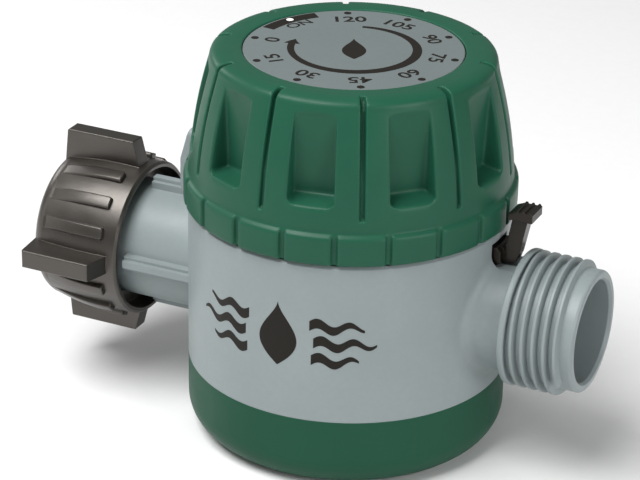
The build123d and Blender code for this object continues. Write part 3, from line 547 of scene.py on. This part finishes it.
class Print:
    """Collects flat shapes, drawn in (u, v) millimetres, that are laid on a surface by one function."""

    def __init__(self, name, place, body, material, base=0.0, thickness=0.03):
        self.name = name
        self.place = place
        self.body = body
        self.material = material
        self.layers = (base - 0.02, base + thickness)
        self.mesh = bmesh.new()

    def strip(self, left, right, across=1):
        """A band between two lines of (u, v) points, cut into some cells across so that it can bend."""
        lines = []
        for k in range(across + 1):
            share = k / across
            pairs = zip(left, right)
            lines.append([(a + (c - a) * share, b + (d - b) * share) for (a, b), (c, d) in pairs])
        loop = []
        low, top = self.layers
        for row in zip(*lines):
            up = [self.mesh.verts.new(self.place(u, v, top)) for u, v in row]
            down = [self.mesh.verts.new(self.place(u, v, low)) for u, v in reversed(row)]
            loop.append(up + down)
        close_tube(self.mesh, loop)

    def dot(self, u, v, radius, steps=18):
        angles = [0.05 + (math.pi - 0.1) * i / steps for i in range(steps + 1)]
        left = [(u - radius * math.cos(a), v + radius * math.sin(a)) for a in angles]
        right = [(u - radius * math.cos(a), v - radius * math.sin(a)) for a in angles]
        self.strip(left, right)

    def bar(self, radius, half_width, start, end, steps):
        """Curved bar about the origin; its half width is a function of how far along it is."""
        left = []
        right = []
        for i in range(steps + 1):
            share = i / steps
            angle = start + (end - start) * share
            left.append(around(radius + half_width(share), angle))
            right.append(around(radius - half_width(share), angle))
        self.strip(left, right)

    def drop(self, u, v, width, height, turn=0.0, steps=26):
        """Water drop with its point up, turned about its middle."""
        lines = ([], [])
        c, s = math.cos(turn), math.sin(turn)
        for i in range(steps + 1):
            share = 0.004 + 0.992 * i / steps
            half = width * 0.65 * math.sin(math.pi * share) * (1 - share) ** 0.55
            rise = height * (share - 0.5)
            for line, side in zip(lines, (-half, half)):
                line.append((u + side * c - rise * s, v + side * s + rise * c))
        self.strip(*lines, across=12)

    def wave(self, u0, u1, v, swing, length, width, steps=60):
        """Wavy line of changing width that tapers to its far end."""
        upper = []
        lower = []
        for i in range(steps + 1):
            share = i / steps
            u = u0 + (u1 - u0) * share
            middle = v + swing * math.sin(2 * math.pi * (u - u0) / length)
            half = width / 2 * (1 - 0.75 * share ** 2)
            upper.append((u, middle + half))
            lower.append((u, middle - half))
        self.strip(upper, lower)

    def text(self, body, u, v, turn, cap_height, weight):
        """Numerals centred at (u, v), with their tops turned from +v by an angle in degrees."""
        curve = bpy.data.curves.new("numeral", "FONT")
        curve.body = body
        curve.align_x = "CENTER"
        curve.offset = weight
        curve.extrude = 0.5
        holder = place_object("numeral", curve)
        shape = holder.to_mesh()
        low = min(vertex.co.y for vertex in shape.vertices)
        high = max(vertex.co.y for vertex in shape.vertices)
        scale = cap_height / (high - low)
        c, s = math.cos(math.radians(turn)), math.sin(math.radians(turn))
        corners = []
        for vertex in shape.vertices:
            a = vertex.co.x * scale * NUMERAL_WIDTH
            b = (vertex.co.y - (low + high) / 2) * scale
            lift = self.layers[1] if vertex.co.z > 0 else self.layers[0]
            corners.append(self.mesh.verts.new(self.place(u + a * c - b * s, v + a * s + b * c, lift)))
        for face in shape.polygons:
            self.mesh.faces.new([corners[i] for i in face.vertices])
        holder.to_mesh_clear()
        bpy.data.objects.remove(holder)

    def finish(self):
        thing = mesh_object(self.name, self.mesh, self.material, 40)
        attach(thing, self.body)


def on_label(u, v, lift):
    """Lays (u, v) on the label's top."""
    return (u * MM, v * MM, LABEL_TOP + lift * MM)


def on_body(u, v, lift):
    """Wraps u round the front of the body; v is the height."""
    radius = BODY_R + lift * MM
    angle = u * MM / BODY_R
    return (radius * math.sin(angle), -radius * math.cos(angle), v * MM)


# The dial's print: angles in degrees from +X, radii and heights in millimetres
FIRST_MARK = 190.5
MARK_STEP = 36.0
ON_MARK = FIRST_MARK - MARK_STEP
DOT_RING = 19.85
NUMERAL_RING = 16.35
NUMERAL_HEIGHT = 2.95
NUMERAL_WIDTH = 1.18
NUMERAL_WEIGHT = 0.017
ON_BAR_RADIUS = 19.65
ON_BAR_HALF = 1.3
ON_BAR_ENDS = (137, 173.5)
ARROW_RADIUS = 12.2
ARROW_HEAD_HALF = 1.55
ARROW_START = 107
ARROW_NECK = -166
ARROW_TIP = -177.5


def print_scale(marks):
    """Minute marks from 0 to 120, a dot over each numeral, rising counter-clockwise."""
    for index in range(9):
        angle = FIRST_MARK + MARK_STEP * index
        marks.dot(*around(DOT_RING, angle), 0.75)
        place = around(NUMERAL_RING, angle)
        marks.text(str(15 * index), *place, angle - 90, NUMERAL_HEIGHT, NUMERAL_WEIGHT)


def print_arrow(marks):
    """Long tapering arrow that shows the way the dial runs down."""
    def shaft_half(share):
        return 0.45 + 0.42 * math.sin(math.pi * min(1.0, share * 1.15)) + 0.25 * share

    def head_half(share):
        return ARROW_HEAD_HALF * (1 - share)

    marks.bar(ARROW_RADIUS, shaft_half, ARROW_START, ARROW_NECK, 90)
    marks.bar(ARROW_RADIUS, head_half, ARROW_NECK, ARROW_TIP, 10)


def print_label():
    """Scale and arrow, the always-on mark with its white spot, and a plain drop in the middle."""
    marks = Print("label_print", on_label, "dial", BLACK_INK)
    print_scale(marks)
    print_arrow(marks)
    marks.bar(ON_BAR_RADIUS, lambda share: ON_BAR_HALF, *ON_BAR_ENDS, 24)
    marks.text("ON", *around(16.9, ON_MARK), ON_MARK - 90, 2.3, 0.012)
    marks.drop(0, 0, 5.0, 11.0, math.radians(25))
    marks.finish()
    spot = Print("label_spot", on_label, "dial", WHITE_INK, base=0.04)
    spot.dot(*around(DOT_RING, ON_MARK), 0.72)
    spot.finish()


def print_front():
    """Generic water mark on the front: a drop between wavy lines."""
    middle = 32.5
    marks = Print("front_print", on_body, "housing", BLACK_INK, thickness=0.025)
    marks.drop(0, middle + 0.5, 8.4, 13.4)
    for side in (-1, 1):
        for level, start, end in ((3.6, 6.4, 17.0), (0.0, 7.2, 19.4), (-3.6, 6.8, 16.0)):
            marks.wave(side * start, side * end, middle + level - 0.4, 0.70, 6.2, 2.1)
    marks.finish()


# Inlet nut: (radius, distance from its mouth) of its swollen barrel, and its ribs, in millimetres

BARREL_ARC = circle_through((15.5, 2.6), (16.2, 10.0), (16.0, 19.3))
RIB_START = 2.7
RIB_END = 16.75
RIB_RISE = 0.95
# Distance in from a rib's border, and how high its rounded edge stands there
RIB_EDGE = [(0.0, 0.0), (0.05, 0.5), (0.12, 0.85), (0.22, 0.97), (0.36, 1.0)]
RIB_HALF = 1.36
RIB_CORNER = 0.6
RIB_SUNK = 0.05
RIB_FOOT = 0.9
# Places for ribs round the nut; its four wings stand at every fourth one
RIB_PLACES = 16
WING_STEP = 4


def barrel_radius(x):
    """Outer radius of the nut at a distance from its mouth."""
    r, middle, radius = BARREL_ARC
    return r + math.sqrt(radius ** 2 - (x - middle) ** 2)


def rib_profile(x):
    """Outline of a rib across its length, as pairs of sideways place and height over the nut's axis."""
    to_end = RIB_END - x
    round_off = max(0.0, RIB_CORNER - to_end)
    half = RIB_HALF - RIB_CORNER + math.sqrt(RIB_CORNER ** 2 - round_off ** 2)
    barrel = barrel_radius(x)
    rise = RIB_RISE * (1 - (to_end / (RIB_END - RIB_START)) ** 2) * ramp(to_end, RIB_EDGE)
    side = [(half - inset, share) for inset, share in RIB_EDGE]
    across = [(-t, share) for t, share in side] + list(reversed(side))
    top = []
    for t, share in across:
        surface = math.sqrt(barrel ** 2 - t * t) - RIB_SUNK
        top.append((t, surface + (rise + RIB_SUNK) * share))
    return top + [(half, barrel - RIB_FOOT), (-half, barrel - RIB_FOOT)]


def add_nut_rib(mesh, turn):
    """One grip rib with rounded edges, which rises from nothing at the mouth's end."""
    c, s = math.cos(turn), math.sin(turn)
    length = RIB_END - RIB_CORNER - RIB_START
    stations = [RIB_START + length * i / 18 for i in range(19)]
    stations += [RIB_END - inset for inset, _ in reversed(RIB_EDGE)]
    rings = []
    for x in stations:
        ring = []
        for t, up in rib_profile(x):
            place = (NUT_LO.x / MM + x, t * c - up * s, INLET_Z / MM + t * s + up * c)
            ring.append(mesh.verts.new([value * MM for value in place]))
        rings.append(ring)
    close_tube(mesh, rings)


def build_nut_ribs():
    """Twelve grip ribs of full length, three between each two wings."""
    mesh = bmesh.new()
    for index in range(RIB_PLACES):
        if index % WING_STEP:
            add_nut_rib(mesh, 2 * math.pi * index / RIB_PLACES)
    ribs = mesh_object("nut_ribs", mesh, MATERIALS["black_nut"], 60)
    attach(ribs, "nut")


def build_nut_thread():
    """Hose thread inside the swivel nut: a single ridge on the bore's wall, 11.5 turns to the inch."""
    pitch = 25.4 / 11.5
    wall = 13.65
    crest = 12.35
    turns = 4.0
    steps = 72
    start = NUT_LO.x / MM + 1.4
    fade_steps = 10
    mesh = bmesh.new()
    rings = []
    for i in range(int(turns * steps) + 1):
        angle = 2 * math.pi * i / steps
        x = start + pitch * i / steps
        fade = min(1.0, i / fade_steps, (turns * steps - i) / fade_steps)
        top = wall - (wall - crest) * (0.02 + 0.98 * fade)
        flank = (wall + top) / 2
        outline = [(-0.36, wall), (-0.16, flank), (-0.10, top + 0.06), (0.0, top), (0.10, top + 0.06),
                   (0.16, flank), (0.36, wall), (0.0, wall + 0.15)]
        ring = []
        for along, radius in outline:
            place = (x + along * pitch, radius * math.cos(angle), INLET_Z / MM + radius * math.sin(angle))
            ring.append(mesh.verts.new([c * MM for c in place]))
        rings.append(ring)
    close_tube(mesh, rings)
    thread = mesh_object("nut_thread", mesh, MATERIALS["black_nut"], 60)
    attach(thread, "nut")


# Stage

def build_floor():
    """Large flat sheet of pale paper."""
    half = 6
    mesh = bmesh.new()
    for corner in ((-half, -half), (half, -half), (half, half), (-half, half)):
        mesh.verts.new((*corner, BASE_LO.z))
    mesh.faces.new(mesh.verts)
    data = bpy.data.meshes.new("floor")
    mesh.to_mesh(data)
    floor = place_object("floor", data)
    g = Graph("floor_paper")
    fine = g.noise(300.0, 3.0)
    paper = g.mix(fine, (0.79, 0.79, 0.79, 1.0), (0.82, 0.82, 0.82, 1.0))
    g.set(g.shader.inputs["Base Color"], paper)
    g.set(g.shader.inputs["Roughness"], 0.75)
    data.materials.append(g.material)


def area_light(name, place, target, size, power):
    """Soft box at a place in metres, aimed at a target; its power is in watts."""
    light = bpy.data.lights.new(name, "AREA")
    light.shape = "RECTANGLE"
    light.size, light.size_y = size
    light.energy = power
    lamp = place_object(name, light)
    lamp.location = place
    lamp.rotation_euler = (Vector(target) - Vector(place)).to_track_quat("-Z", "Y").to_euler()


def build_lights():
    """A big soft box overhead, one weak fill on each side, and one behind that lights the label."""
    world = bpy.data.worlds.new("studio")
    world.use_nodes = True
    background = world.node_tree.nodes["Background"]
    background.inputs["Color"].default_value = (1.0, 1.0, 1.0, 1.0)
    background.inputs["Strength"].default_value = 0.25
    bpy.context.scene.world = world
    middle = (0, 0, 40 * MM)
    area_light("overhead", (-0.19, -0.30, 0.70), middle, (0.56, 0.40), 7.6)
    area_light("left", (-0.75, -0.35, 0.30), middle, (0.40, 0.50), 0.7)
    area_light("right", (0.75, -0.30, 0.34), middle, (0.40, 0.50), 3.4)
    area_light("behind", (-0.80, 0.32, 0.42), middle, (0.30, 0.30), 1.5)


def build_camera():
    """Looks down at the front from the outlet's side, as if from half a metre away."""
    azimuth, elevation, roll = (math.radians(d) for d in (25.09, 25.07, 1.10))
    distance = 516.9 * MM
    aim_right = -5.83 * MM
    aim_up = 39.09 * MM
    back = Vector((math.sin(azimuth) * math.cos(elevation),
                   -math.cos(azimuth) * math.cos(elevation),
                   math.sin(elevation)))
    right = Vector((math.cos(azimuth), math.sin(azimuth), 0))
    up = back.cross(right)
    side = right * math.cos(roll) + up * math.sin(roll)
    top = up * math.cos(roll) - right * math.sin(roll)
    data = bpy.data.cameras.new("camera")
    data.sensor_width = 36.0
    data.lens = 146.25
    data.clip_start = 0.01
    data.clip_end = 50.0
    camera = place_object("camera", data)
    place = right * aim_right + back * distance + Vector((0, 0, aim_up))
    camera.matrix_world = Matrix.Translation(place) @ Matrix((side, top, back)).transposed().to_4x4()
    bpy.context.scene.camera = camera


finish_cad_nodes()
build_springs()
build_knob()
print_label()
print_front()
build_nut_thread()
build_nut_ribs()
build_floor()
build_lights()
build_camera()
bpy.context.scene.view_settings.view_transform = "Standard"
